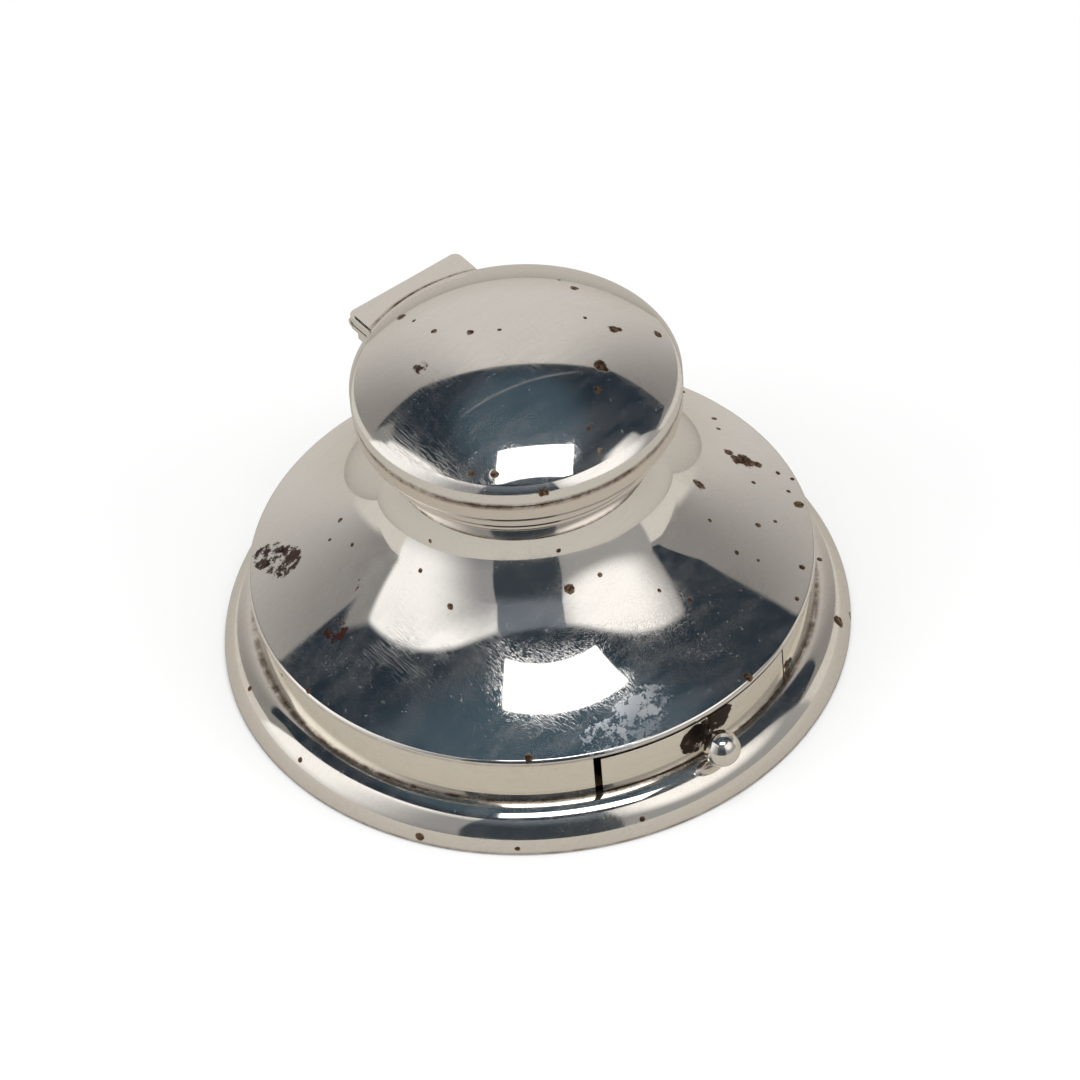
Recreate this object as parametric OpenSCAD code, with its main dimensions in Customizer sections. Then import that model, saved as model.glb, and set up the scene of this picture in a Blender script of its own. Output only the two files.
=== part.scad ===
// Round desk inkstand in polished silver: a domed body on a moulded foot, a hinged domed lid over
// a glass ink well, and a stamp drawer that pulls out of the upright wall.
// Z is up, the table is Z = 0, the drawer faces -Y and the hinge is at +Y. Millimetres.

/* [Foot] */
// Diameter over the foot moulding
foot_d = 115; // [105:1:130]
// Radius of the rounded face of the foot moulding
foot_round_r = 6.9; // [6:0.1:8]
// Height of the centre of that rounding above the table
foot_round_z = 0.8; // [0.5:0.1:1.5]
// Height of the lower rim of the moulding above the table
foot_lift = 0.3; // [0.1:0.1:0.5]
// Thickness of the sheet of the moulding
foot_t = 0.8; // [0.5:0.1:1.2]
// Thickness of the baize pad
pad_t = 0.8; // [0.5:0.1:1.2]
// Distance of the edge of the baize pad from the edge of the board
pad_margin = 1.5; // [0.5:0.1:4]
// Thickness of the wide lower step of the base board
board_step_t = 3; // [2:0.1:4]
// Gap between the base board and the moulding
board_gap = 0.3; // [0.2:0.05:0.6]
// Width of the flat on top of the moulding, inside the wall
foot_seat_w = 1; // [0.6:0.1:1.6]
// Gap round the cement that fills the moulding
fill_gap = 0.1; // [0.05:0.05:0.3]

/* [Wall] */
// How far the foot stands out past the upright wall
foot_proud = 6.2; // [5:0.1:8]
// Height of the upright wall
wall_h = 9.5; // [8.9:0.1:12]
// Thickness of the sheet of the wall
wall_t = 0.8; // [0.5:0.1:1.2]

/* [Body] */
// Diameter of the neck
neck_d = 43; // [40:0.2:46]
// Length of the straight neck above the flare
neck_h = 10; // [9.6:0.1:13]
// Height of the flare, from the edge of the dome to the straight neck
flare_h = 27; // [25:0.2:30]
// Slope of the dome where its tight curve turns into the wide one
flare_slope = 42; // [38:1:46]
// Slope of the dome at its edge
edge_slope = 20; // [17:1:24]
// Thickness of the sheet of the body
shell_t = 0.7; // [0.5:0.1:1]
// How far the edge of the dome stands out past the wall
edge_lip = 0.5; // [0.3:0.1:1]
// Radius of the rounding over the edge of the dome
edge_round_r = 0.9; // [0.7:0.1:1.3]
// Height of the upright edge of the dome under that rounding
edge_h = 0.2; // [0.1:0.1:0.5]
// Width of the flat under the edge of the dome, inside the wall
edge_seat_w = 0.5; // [0.3:0.1:1]

/* [Neck mount] */
// Thickness of the sheet of the mount
mount_t = 0.8; // [0.6:0.1:1]
// How far the stem under the collar stands out from the neck
stem_out = 4.8; // [4.3:0.1:4.9]
// Radius of the bead under the stem
bead_r = 1.1; // [1:0.1:1.4]
// How far the centre of the bead stands out from the neck
bead_out = 3.9; // [3.8:0.1:4.4]
// How far the centre of the bead lies below the top of the neck
bead_drop = 3.85; // [3.3:0.05:4.4]
// How far the foot of the cove under the bead stands out from the neck
cove_out = 2.2; // [1.9:0.1:2.6]
// How far the foot of the cove lies below the top of the neck
cove_drop = 9.5; // [9:0.1:9.6]
// Radius of the cove
cove_round_r = 4; // [3.4:0.1:4.4]
// Slope of the cove at its foot
cove_slope = 40; // [36:1:48]
// Height of the upright edge at the foot of the cove
cove_lip = 0.2; // [0.1:0.1:0.4]

/* [Collar] */
// How far the collar stands out from the neck
collar_out = 8.1; // [7.6:0.1:9]
// Height of the outer face of the collar
collar_h = 4.65; // [4:0.05:5.5]
// Radius of the rounded lower edge of the collar
collar_round_r = 1.8; // [1:0.1:2]
// Thickness of the upright rim of the collar
collar_t = 2.6; // [2:0.1:3.2]
// Thickness of the floor of the collar, which carries the glass
collar_floor_t = 0.8; // [0.6:0.1:1.2]

/* [Lid] */
// How far the lid stands out past the collar
lid_over = 0.2; // [0:0.1:1]
// Gap between the collar and the lid
lid_gap = 0.3; // [0.2:0.05:0.5]
// Height of the upright rim of the lid
lid_rim_h = 2.8; // [2.4:0.05:3.6]
// Thickness of the rim of the lid
lid_rim_t = 0.8; // [0.6:0.1:1]
// Rise of the crown of the lid above its rim
lid_rise = 10.6; // [10.2:0.1:12]
// Slope of the crown where its wide curve turns into the rounded shoulder
crown_slope = 36; // [30:1:38]
// Slope of the shoulder where it meets the rim
shoulder_slope = 52; // [46:1:60]
// Thickness of the sheet of the crown
crown_t = 0.7; // [0.5:0.1:1]
// Gap between the bezel and the flange of the glass
bezel_clear = 0.45; // [0.2:0.05:0.8]
// Thickness of the bezel
bezel_t = 0.7; // [0.5:0.1:0.9]
// Gap between the bezel and the mouth of the collar
bezel_gap = 0.5; // [0.3:0.1:1]

/* [Hinge] */
// Width of the hinge
hinge_w = 24.8; // [18:0.2:30]
// How far the hinge stands out past the rim of the lid
hinge_out = 4.2; // [4:0.1:8]
// Radius of the outer corners of the hinge
hinge_corner_r = 1.5; // [0.5:0.1:3]
// Thickness of the upper leaf
leaf_top_t = 1.9; // [1.6:0.1:2.2]
// Thickness of the lower leaf
leaf_low_t = 1; // [0.8:0.1:1.4]
// Gap between the two leaves
leaf_gap = 0.3; // [0.2:0.1:0.5]
// Width of the step round the top of the upper leaf
leaf_step_w = 0.5; // [0.2:0.1:1]
// Height of that step
leaf_step_h = 0.4; // [0.2:0.1:0.6]
// Number of knuckles on the pin
knuckle_n = 5; // [3:2:7]
// Diameter of the knuckles
knuckle_d = 2.2; // [1.8:0.1:2.4]
// Gap between neighbouring knuckles
knuckle_gap = 0.2; // [0.1:0.1:0.4]
// Gap between a knuckle and the leaf that turns round it
knuckle_clear = 0.15; // [0.1:0.05:0.25]
// Diameter of the hinge pin
pin_d = 1.1; // [0.8:0.1:1.4]
// Distance of the pin from the outer edge of the hinge
pin_inset = 1.3; // [1.2:0.1:2]
// How far each end of the pin lies inside its knuckle
pin_recess = 0.3; // [0:0.1:0.5]
// Gap round the pin in the knuckles that turn
pin_clear = 0.05; // [0.02:0.01:0.1]
// Gap round the pin in the knuckles that hold it
pin_grip = 0.01; // [0.01:0.01:0.02]
// Height of the bracket under the lower leaf
bracket_h = 1.4; // [1:0.1:2.5]
// How far the bracket reaches out from the collar
bracket_l = 1.4; // [1:0.1:1.8]

/* [Ink well] */
// Gap between the glass and the neck
glass_gap = 0.6; // [0.3:0.1:1.2]
// Thickness of the wall of the glass
glass_t = 2.2; // [1.6:0.1:3]
// Thickness of the bottom of the glass
glass_floor_t = 3; // [2:0.1:5]
// Thickness of the flange of the glass
glass_flange_t = 1.2; // [1:0.1:1.6]
// Gap between the flange and the rim of the collar
glass_flange_gap = 0.4; // [0.2:0.1:0.8]
// Radius of the lower corner of the glass
glass_round_r = 4; // [3:0.5:6]
// Radius of the corner inside the glass
glass_bowl_r = 3; // [2:0.5:5]
// Radius of the rounded edges of the mouth of the glass
glass_lip_r = 0.6; // [0.3:0.1:0.6]
// Height of the bottom of the glass above the drawer case
glass_rise = 3.7; // [1:0.1:6]

/* [Drawer] */
// Width of the front of the drawer, measured straight across
front_w = 41.2; // [38:0.2:46]
// Height of the front of the drawer
front_h = 8.2; // [7.6:0.1:8.8]
// Gap at the left end of the front, seen from outside
front_gap_left = 1.4; // [0.3:0.1:2]
// Gap at the right end of the front, seen from outside
front_gap_right = 0.4; // [0.3:0.1:2]
// Width of the tray
tray_w = 35.2; // [30:0.2:36]
// Length of the drawer from the middle of its front to its back
tray_l = 34; // [30:0.5:40]
// Thickness of the sheet of the tray
tray_t = 0.6; // [0.4:0.1:0.8]
// How far the sides of the tray lie below the top of the front
tray_drop = 0.7; // [0.5:0.1:1.2]
// How far the back of the tray stands above its sides
stop_h = 0.9; // [0.7:0.1:1]
// How far the stop lip of the case reaches in front of the back of the tray
stop_lap = 0.5; // [0.3:0.1:0.6]
// Gap between the stop lip and the back of the tray with the drawer right out
stop_gap = 0.1; // [0.05:0.05:0.3]
// Travel of the drawer
travel = 26; // [18:1:27]
// Gap round the sliding tray
slide_gap = 0.2; // [0.15:0.05:0.3]
// Gap behind the closed tray
back_gap = 0.3; // [0.2:0.1:1]
// Thickness of the sheet of the drawer case
case_t = 0.6; // [0.4:0.1:0.8]
// Gap between the front of the case and the ring that carries the wall
case_front_gap = 0.2; // [0.2:0.1:1]
// Diameter of the ball knob
knob_d = 6.7; // [5:0.1:8]
// Gap between the ball and the front of the drawer
knob_gap = 0.75; // [0.5:0.05:1.5]
// Height of the middle of the knob above the middle of the front
knob_up = -0.5; // [-1:0.1:0.5]
// Diameter of the stem of the knob
knob_stem_d = 2.2; // [1.6:0.1:3]
// Gap round the stem in the front of the drawer
stem_clear = 0.05; // [0.02:0.01:0.1]
// Diameter of the riveted end of the stem
rivet_d = 3.6; // [3.2:0.1:4]
// Thickness of the riveted end of the stem
rivet_t = 0.5; // [0.3:0.1:0.8]

/* [Screws] */
// Distance between the two screws that hold the drawer case
screw_span = 18; // [12:1:24]
// Diameter of the head of a screw
screw_head_d = 3.2; // [2.6:0.1:4]
// Diameter of the stem of a screw
screw_d = 1.6; // [1.2:0.1:2]
// Length of a screw
screw_l = 5; // [4:0.5:6]

/* [Hidden] */
$fn = 96;

// Heights and radii of the foot, from the table up
foot_r = foot_d / 2;
foot_round_cr = foot_r - foot_round_r;
foot_top = foot_round_z + foot_round_r;

// Wall
wall_r = foot_r - foot_proud;
wall_in_r = wall_r - wall_t;
wall_top = foot_top + wall_h;
foot_in_r = wall_in_r - foot_seat_w;

// Drawer, from its own seat up
case_floor_z = foot_top - case_t;
tray_z = foot_top + slide_gap;
front_top = tray_z + front_h;
tray_side_top = front_top - tray_drop;
tray_back_top = tray_side_top + stop_h;
case_ceiling = tray_back_top + slide_gap;
case_top = case_ceiling + case_t;
front_half = asin(front_w / 2 / wall_r);
gap_deg = 180 / (PI * wall_r);
tray_back_y = tray_l - wall_r;
case_back_y = tray_back_y + back_gap;
case_in_w = tray_w + 2 * slide_gap;
case_front_r = foot_in_r - case_front_gap;
stop_y = tray_back_y - tray_t - travel - stop_gap;
knob_r = knob_d / 2;
knob_y = -(wall_r + knob_gap + knob_r);
knob_z = tray_z + front_h / 2 + knob_up;

// Base board: a wide step inside the moulding and a narrow one under the case
board_z = pad_t;
board_step_z = board_z + board_step_t;
board_step_r = foot_round_cr - board_gap
    + sqrt(pow(foot_round_r - foot_t, 2) - pow(board_step_z - foot_round_z, 2));
board_top_r = foot_in_r - board_gap;
fill_in_r = board_top_r + fill_gap;
fill_z = board_step_z + fill_gap;
fill_top = foot_top - foot_t - fill_gap;
fill_r = foot_round_r - foot_t - fill_gap;
screw_y = (case_back_y - case_front_r) / 2;

// Dome: a tight and a wide tangent arc from the straight neck down to the rounded edge
edge_r = wall_r + edge_lip;
edge_z = wall_top + edge_h + edge_round_r * cos(edge_slope);
wide_end_r = edge_r - edge_round_r * (1 - sin(edge_slope));
neck_r = neck_d / 2;
neck_in_r = neck_r - shell_t;
neck_z = edge_z + flare_h;
neck_top = neck_z + neck_h;
dome_arcs = pair(1 - sin(flare_slope), sin(flare_slope) - sin(edge_slope),
    cos(flare_slope), cos(edge_slope) - cos(flare_slope), wide_end_r - neck_r, flare_h);
tight_r = dome_arcs[0];
wide_r = dome_arcs[1];
tight_cr = neck_r + tight_r;
wide_cr = tight_cr + (wide_r - tight_r) * sin(flare_slope);
wide_cz = neck_z + (wide_r - tight_r) * cos(flare_slope);
edge_seat_r = wall_in_r - edge_seat_w;
inner_end = 360 - acos((edge_seat_r - wide_cr) / (wide_r + shell_t));

// Mount of the neck: a stem, a bead and a cove
stem_r = neck_r + stem_out;
bead_cr = neck_r + bead_out;
bead_z = neck_top - bead_drop;
bead_low = bead_z - bead_r;
cove_r = neck_r + cove_out;
cove_z = neck_top - cove_drop;
cove_cr = cove_r + cove_round_r * sin(cove_slope);
cove_cz = cove_z + cove_lip + cove_round_r * cos(cove_slope);

// Collar
collar_r = neck_r + collar_out;
collar_floor = neck_top + collar_floor_t;
collar_top = neck_top + collar_h;
mouth_r = collar_r - collar_t;

// Lid: a rim, and a crown of two tangent arcs
lid_r = collar_r + lid_over;
lid_z = collar_top + lid_gap;
lid_edge = lid_z + lid_rim_h;
lid_top = lid_edge + lid_rise;
lid_rim_in_r = lid_r - lid_rim_t;
bezel_r = mouth_r - bezel_gap;
bezel_z = collar_floor + glass_flange_t + bezel_clear;
crown_arcs = pair(sin(crown_slope), sin(shoulder_slope) - sin(crown_slope),
    1 - cos(crown_slope), cos(crown_slope) - cos(shoulder_slope), lid_r, lid_rise);
crown_r = crown_arcs[0];
shoulder_r = crown_arcs[1];
shoulder_cr = (crown_r - shoulder_r) * sin(crown_slope);
shoulder_cz = lid_top - crown_r + (crown_r - shoulder_r) * cos(crown_slope);
crown_in_end = asin((lid_edge - shoulder_cz) / (shoulder_r - crown_t));

// Hinge
hinge_edge = lid_r + hinge_out;
leaf_top_z = lid_edge - leaf_top_t;
leaf_low_top = leaf_top_z - leaf_gap;
leaf_low_z = leaf_low_top - leaf_low_t;
pin_y = hinge_edge - pin_inset;
pin_z = (leaf_top_z + leaf_low_top) / 2;
pin_r = pin_d / 2;
knuckle_r = knuckle_d / 2;
knuckle_w = hinge_w / knuckle_n;
bracket_z = collar_top - bracket_h;

// Ink well
glass_r = neck_in_r - glass_gap;
glass_in_r = glass_r - glass_t;
glass_z = case_top + glass_rise;
glass_top = collar_floor + glass_flange_t;
glass_flange_r = mouth_r - glass_flange_gap;

cut = 1;

// The two unknowns of two linear equations: a x + b y = e and c x + d y = f
function pair(a, b, c, d, e, f) =
    let (det = a * d - b * c) [(e * d - b * f) / det, (a * f - c * e) / det];

// Points along an arc round (cr, cz), by angle from the outward direction
function arc(cr, cz, r, from, to, n) =
    [for (i = [0:n]) let (a = from + (to - from) * i / n) [cr + r * cos(a), cz + r * sin(a)]];

// The same points without the first one, for an arc that goes on from another
function arc_on(cr, cz, r, from, to, n) =
    [for (i = [1:n]) let (a = from + (to - from) * i / n) [cr + r * cos(a), cz + r * sin(a)]];

// Ring of rectangular section
module band(r_out, r_in, z0, z1) {
    rotate_extrude() translate([r_in, z0]) square([r_out - r_in, z1 - z0]);
}

// Block of the cylinder wall over an angle about -Y, from the left end to the right one
module wall_piece(r_out, r_in, z0, z1, left, right) {
    rotate([0, 0, -90 - left]) rotate_extrude(angle = left + right)
        translate([r_in, z0]) square([r_out - r_in, z1 - z0]);
}

// Cylinder along X, centred at the pin, from x0 to x1
module along_pin(r, x0, x1) {
    translate([x0, pin_y, pin_z]) rotate([0, 90, 0]) cylinder(r = r, h = x1 - x0);
}

// Knuckles of one leaf: the even places are the lower leaf's, the odd ones the upper leaf's
module knuckles(r, first, side_gap) {
    for (i = [first:2:knuckle_n - 1])
        along_pin(r, i * knuckle_w - hinge_w / 2 + side_gap / 2,
            (i + 1) * knuckle_w - hinge_w / 2 - side_gap / 2);
}

// Outline of the hinge seen from above, drawn in by the inset, with two rounded outer corners
module hinge_outline(y0, y1, inset) {
    half = hinge_w / 2 - inset;
    translate([-half, y0]) square([2 * half, y1 - inset - hinge_corner_r - y0]);
    translate([hinge_corner_r - half, y0])
        square([2 * (half - hinge_corner_r), y1 - inset - y0]);
    for (side = [-1, 1])
        translate([side * (half - hinge_corner_r), y1 - inset - hinge_corner_r])
            circle(r = hinge_corner_r);
}

// Outline of the tray or of the case from above, with a curved front
module drawer_outline(w, back_y, front_r) {
    intersection() {
        circle(r = front_r);
        translate([-w / 2, -front_r]) square([w, front_r + back_y]);
    }
}

module base_pad() {
    color("darkgreen") cylinder(r = board_step_r - pad_margin, h = pad_t);
}

module base_board() {
    color("saddlebrown") difference() {
        union() {
            translate([0, 0, board_z]) cylinder(r = board_step_r, h = board_step_t);
            translate([0, 0, board_step_z]) cylinder(r = board_top_r, h = case_floor_z - board_step_z);
        }
        for (side = [-1, 1])
            translate([side * screw_span / 2, screw_y, case_floor_z - screw_l])
                cylinder(d = screw_d, h = screw_l + cut);
    }
}

// Cement between the board and the moulding
module foot_filling() {
    low = asin((fill_z - foot_round_z) / fill_r);
    high = asin((fill_top - foot_round_z) / fill_r);
    color("dimgray") rotate_extrude() polygon(concat(
        [[fill_in_r, fill_top], [fill_in_r, fill_z]],
        arc(foot_round_cr, foot_round_z, fill_r, low, high, 8)));
}

module foot_moulding() {
    in_r = foot_round_r - foot_t;
    drop = foot_round_z - foot_lift;
    color("silver") rotate_extrude() polygon(concat(
        [[foot_in_r, foot_top - foot_t], [foot_in_r, foot_top]],
        arc(foot_round_cr, foot_round_z, foot_round_r, 90, -asin(drop / foot_round_r), 28),
        arc(foot_round_cr, foot_round_z, in_r, -asin(drop / in_r), 90, 24)));
}

// Upright wall, open all the way up where the drawer is
module wall_band() {
    color("silver") difference() {
        band(wall_r, wall_in_r, foot_top, wall_top);
        wall_piece(wall_r + cut, wall_in_r - cut, foot_top - cut, wall_top + cut,
            front_half + front_gap_left * gap_deg, front_half + front_gap_right * gap_deg);
    }
}

module body_shell() {
    color("silver") rotate_extrude() polygon(concat(
        [[neck_in_r, neck_top], [neck_r, neck_top]],
        arc(tight_cr, neck_z, tight_r, 180, 270 - flare_slope, 28),
        arc_on(wide_cr, wide_cz, wide_r, 270 - flare_slope, 270 - edge_slope, 18),
        arc_on(edge_r - edge_round_r, wall_top + edge_h, edge_round_r, 90 - edge_slope, 0, 8),
        [[edge_r, wall_top], [edge_seat_r, wall_top]],
        arc(wide_cr, wide_cz, wide_r + shell_t, inner_end, 270 - flare_slope, 16),
        arc_on(tight_cr, neck_z, tight_r + shell_t, 270 - flare_slope, 180, 24)));
}

// Sheet mount round the top of the neck, hollow behind its stem and bead
module neck_bead() {
    stem_end = acos((stem_r - bead_cr) / bead_r);
    color("silver") rotate_extrude() polygon(concat(
        [[stem_r - mount_t, neck_top], [stem_r, neck_top]],
        arc(bead_cr, bead_z, bead_r, stem_end, -90, 16),
        [[cove_cr - cove_round_r, bead_low]],
        arc(cove_cr, cove_cz, cove_round_r, 180, 270 - cove_slope, 12),
        [[cove_r, cove_z], [neck_r, cove_z], [neck_r, bead_low + mount_t],
            [stem_r - mount_t, bead_low + mount_t]]));
}

module collar_ring() {
    color("silver") rotate_extrude() polygon(concat(
        [[neck_in_r, neck_top], [neck_in_r, collar_floor], [mouth_r, collar_floor],
            [mouth_r, collar_top], [collar_r, collar_top]],
        arc(collar_r - collar_round_r, neck_top + collar_round_r, collar_round_r, 0, -90, 12)));
}

// Glass pot that hangs in the neck by its flange
module glass_well() {
    floor_z = glass_z + glass_floor_t;
    color([0.8, 0.9, 0.9, 0.5]) rotate_extrude() polygon(concat(
        [[0, floor_z], [0, glass_z]],
        arc(glass_r - glass_round_r, glass_z + glass_round_r, glass_round_r, -90, 0, 10),
        [[glass_r, collar_floor], [glass_flange_r, collar_floor]],
        arc(glass_flange_r - glass_lip_r, glass_top - glass_lip_r, glass_lip_r, 0, 90, 6),
        arc(glass_in_r + glass_lip_r, glass_top - glass_lip_r, glass_lip_r, 90, 180, 6),
        arc(glass_in_r - glass_bowl_r, floor_z + glass_bowl_r, glass_bowl_r, 0, -90, 10)));
}

// Sheet housing that the drawer slides in, with a stop lip under its top
module drawer_case() {
    out_w = case_in_w + 2 * case_t;
    color("silver") difference() {
        translate([0, 0, case_floor_z]) linear_extrude(height = case_top - case_floor_z)
            drawer_outline(out_w, case_back_y + case_t, case_front_r);
        translate([-case_in_w / 2, stop_y, foot_top])
            cube([case_in_w, case_back_y - stop_y, case_ceiling - foot_top]);
        translate([-case_in_w / 2, -foot_r, foot_top])
            cube([case_in_w, foot_r + stop_y + cut, tray_back_top - stop_lap - foot_top]);
        translate([-case_in_w / 2, -foot_r, foot_top])
            cube([case_in_w, foot_r + stop_y - case_t, case_ceiling - foot_top]);
        for (side = [-1, 1]) translate([side * screw_span / 2, screw_y, case_floor_z])
            cylinder(d1 = screw_d, d2 = screw_head_d, h = case_t);
    }
}

module case_screws() {
    color("goldenrod") for (side = [-1, 1]) translate([side * screw_span / 2, screw_y, 0]) {
        translate([0, 0, case_floor_z]) cylinder(d1 = screw_d, d2 = screw_head_d, h = case_t);
        translate([0, 0, case_floor_z - screw_l]) cylinder(d = screw_d, h = screw_l);
    }
}

// Leaf soldered to the collar by a bracket, with the outer knuckles
module hinge_leaf_lower() {
    color("silver") difference() {
        union() {
            translate([-hinge_w / 2, 0, leaf_low_z]) cube([hinge_w, pin_y, leaf_low_t]);
            translate([-hinge_w / 2, 0, bracket_z])
                cube([hinge_w, collar_r + bracket_l, leaf_low_top - bracket_z]);
            knuckles(knuckle_r, 0, knuckle_gap);
        }
        translate([0, 0, bracket_z - cut]) cylinder(r = collar_r, h = bracket_h + cut);
        translate([0, 0, collar_top]) cylinder(r = lid_r + lid_gap, h = lid_rim_h);
        knuckles(knuckle_r + knuckle_clear, 1, -knuckle_gap);
        along_pin(pin_r + pin_grip, -hinge_w, hinge_w);
    }
}

module hinge_pin() {
    color("silver") along_pin(pin_r, pin_recess - hinge_w / 2, hinge_w / 2 - pin_recess);
}

module lid_crown() {
    color("silver") rotate_extrude() polygon(concat(
        arc(0, lid_top - crown_r, crown_r, 90, 90 - crown_slope, 10),
        arc_on(shoulder_cr, shoulder_cz, shoulder_r, 90 - crown_slope, 90 - shoulder_slope, 24),
        arc(shoulder_cr, shoulder_cz, shoulder_r - crown_t, crown_in_end, 90 - crown_slope, 20),
        arc_on(0, lid_top - crown_r, crown_r - crown_t, 90 - crown_slope, 90, 8)));
}

module lid_rim() {
    color("silver") band(lid_r, lid_rim_in_r, lid_z, lid_edge);
}

// Flat ring inside the rim with a short tube that enters the collar
module lid_bezel() {
    color("silver") union() {
        band(lid_rim_in_r, bezel_r - bezel_t, lid_z, lid_z + bezel_t);
        band(bezel_r, bezel_r - bezel_t, bezel_z, lid_z + bezel_t);
    }
}

// Leaf soldered to the rim of the lid, stepped round its top
module hinge_leaf_upper() {
    color("silver") difference() {
        union() {
            translate([0, 0, leaf_top_z]) linear_extrude(height = leaf_top_t - leaf_step_h)
                hinge_outline(0, hinge_edge, 0);
            translate([0, 0, lid_edge - leaf_step_h]) linear_extrude(height = leaf_step_h)
                hinge_outline(0, hinge_edge, leaf_step_w);
            knuckles(knuckle_r, 1, knuckle_gap);
        }
        translate([0, 0, leaf_top_z - cut]) cylinder(r = lid_r, h = leaf_top_t + 2 * cut);
        knuckles(knuckle_r + knuckle_clear, 0, -knuckle_gap);
        along_pin(pin_r + pin_clear, -hinge_w, hinge_w);
    }
}

// Curved front of the drawer, in line with the wall
module drawer_front() {
    color("silver") difference() {
        wall_piece(wall_r, wall_in_r, tray_z, front_top, front_half, front_half);
        translate([0, 0, knob_z]) rotate([90, 0, 0])
            cylinder(d = knob_stem_d + 2 * stem_clear, h = foot_r);
    }
}

// Sheet tray, its back standing higher than its sides to meet the stop lip
module drawer_tray() {
    color("silver") difference() {
        union() {
            translate([0, 0, tray_z]) linear_extrude(height = tray_side_top - tray_z)
                drawer_outline(tray_w, tray_back_y, wall_in_r);
            translate([-tray_w / 2, tray_back_y - tray_t, tray_z])
                cube([tray_w, tray_t, tray_back_top - tray_z]);
        }
        translate([tray_t - tray_w / 2, -foot_r, tray_z + tray_t])
            cube([tray_w - 2 * tray_t, foot_r + tray_back_y - tray_t, front_h]);
    }
}

// Ball with a stem that is riveted behind the front
module drawer_knob() {
    color("silver") translate([0, 0, knob_z]) union() {
        translate([0, knob_y, 0]) sphere(r = knob_r);
        translate([0, rivet_t - wall_in_r, 0]) rotate([90, 0, 0])
            cylinder(d = knob_stem_d, h = rivet_t - wall_in_r - knob_y);
        translate([0, rivet_t - wall_in_r, 0]) rotate([90, 0, 0])
            cylinder(d = rivet_d, h = rivet_t);
    }
}

base_pad();
base_board();
foot_filling();
foot_moulding();
wall_band();
body_shell();
neck_bead();
collar_ring();
glass_well();
drawer_case();
case_screws();
hinge_leaf_lower();
hinge_pin();
lid_crown();
lid_rim();
lid_bezel();
hinge_leaf_upper();
drawer_front();
drawer_tray();
drawer_knob();
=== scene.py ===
import math

import bmesh
import bpy
from mathutils import Matrix, Vector


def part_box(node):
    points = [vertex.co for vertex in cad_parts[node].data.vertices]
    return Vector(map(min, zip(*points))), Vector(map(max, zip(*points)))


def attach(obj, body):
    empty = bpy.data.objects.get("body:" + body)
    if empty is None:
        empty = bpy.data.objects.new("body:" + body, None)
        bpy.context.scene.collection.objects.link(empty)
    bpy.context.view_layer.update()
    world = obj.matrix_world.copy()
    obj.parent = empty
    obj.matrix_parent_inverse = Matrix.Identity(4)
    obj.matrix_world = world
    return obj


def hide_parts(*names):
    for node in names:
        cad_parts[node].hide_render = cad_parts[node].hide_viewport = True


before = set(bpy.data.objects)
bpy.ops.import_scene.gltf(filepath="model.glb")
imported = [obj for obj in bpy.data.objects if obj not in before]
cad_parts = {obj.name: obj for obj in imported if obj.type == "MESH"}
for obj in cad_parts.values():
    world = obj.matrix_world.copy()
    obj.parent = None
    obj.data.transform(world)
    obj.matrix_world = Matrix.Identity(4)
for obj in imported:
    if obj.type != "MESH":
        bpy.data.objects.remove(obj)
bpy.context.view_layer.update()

MM = 0.001


def cos(angle):
    return math.cos(math.radians(angle))


def sin(angle):
    return math.sin(math.radians(angle))


def reach(node):
    """Largest distance of a CAD node from the axis of the inkstand"""
    return max(math.hypot(v.co.x, v.co.y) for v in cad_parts[node].data.vertices) / MM


def bottom(node):
    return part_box(node)[0].z / MM


def top(node):
    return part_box(node)[1].z / MM


# Sizes that the frame gives
foot_r = reach("foot_moulding")
foot_top = top("foot_moulding")
foot_low = bottom("foot_moulding")
wall_r = reach("wall_band")
wall_top = top("wall_band")
edge_r = reach("body_shell")
neck_top = top("body_shell")
bead_edge = reach("neck_bead")
cove_z = bottom("neck_bead")
collar_r = reach("collar_ring")
collar_top = top("collar_ring")
lid_r = reach("lid_rim")
lid_z = bottom("lid_rim")
lid_edge = top("lid_rim")
lid_top = top("lid_crown")
hinge_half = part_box("hinge_leaf_upper")[1].x / MM
hinge_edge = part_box("hinge_leaf_upper")[1].y / MM
knob_front = -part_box("drawer_knob")[0].y / MM
knob_r = (top("drawer_knob") - bottom("drawer_knob")) / 2
knob_z = (top("drawer_knob") + bottom("drawer_knob")) / 2
front_z = bottom("drawer_front")
front_top = top("drawer_front")
front_half_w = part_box("drawer_front")[1].x / MM

# Sizes of the sheet and of the curves
foot_round_r = 6.9
foot_t = 0.8
foot_seat_w = 1.0
wall_t = 0.8
shell_t = 0.7
neck_r = 21.5
neck_h = 10.0
flare_slope = 42.0
edge_slope = 20.0
edge_round_r = 0.9
edge_h = 0.2
mount_t = 0.8
bead_r = 1.1
stem_in = 0.2
bead_drop = 3.85
cove_out = 2.2
cove_round_r = 4.0
cove_slope = 40.0
cove_lip = 0.2
collar_round_r = 1.8
collar_t = 2.6
collar_floor_t = 0.8
lid_rim_t = 0.8
crown_slope = 36.0
shoulder_slope = 52.0
crown_t = 0.7
front_gap_left = 1.4
front_gap_right = 0.4
knob_stem_d = 2.2
rivet_d = 3.6
rivet_t = 0.5
leaf_top_t = 1.9
leaf_low_t = 1.0
leaf_gap = 0.3
leaf_step_w = 0.5
leaf_step_h = 0.4
hinge_corner_r = 1.5
knuckle_n = 5
knuckle_d = 2.2
knuckle_gap = 0.2
pin_d = 1.1
pin_inset = 1.3
pin_recess = 0.3
bracket_h = 1.4
bracket_l = 1.4
edge_soft = 0.12
TURNS = 240

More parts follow.
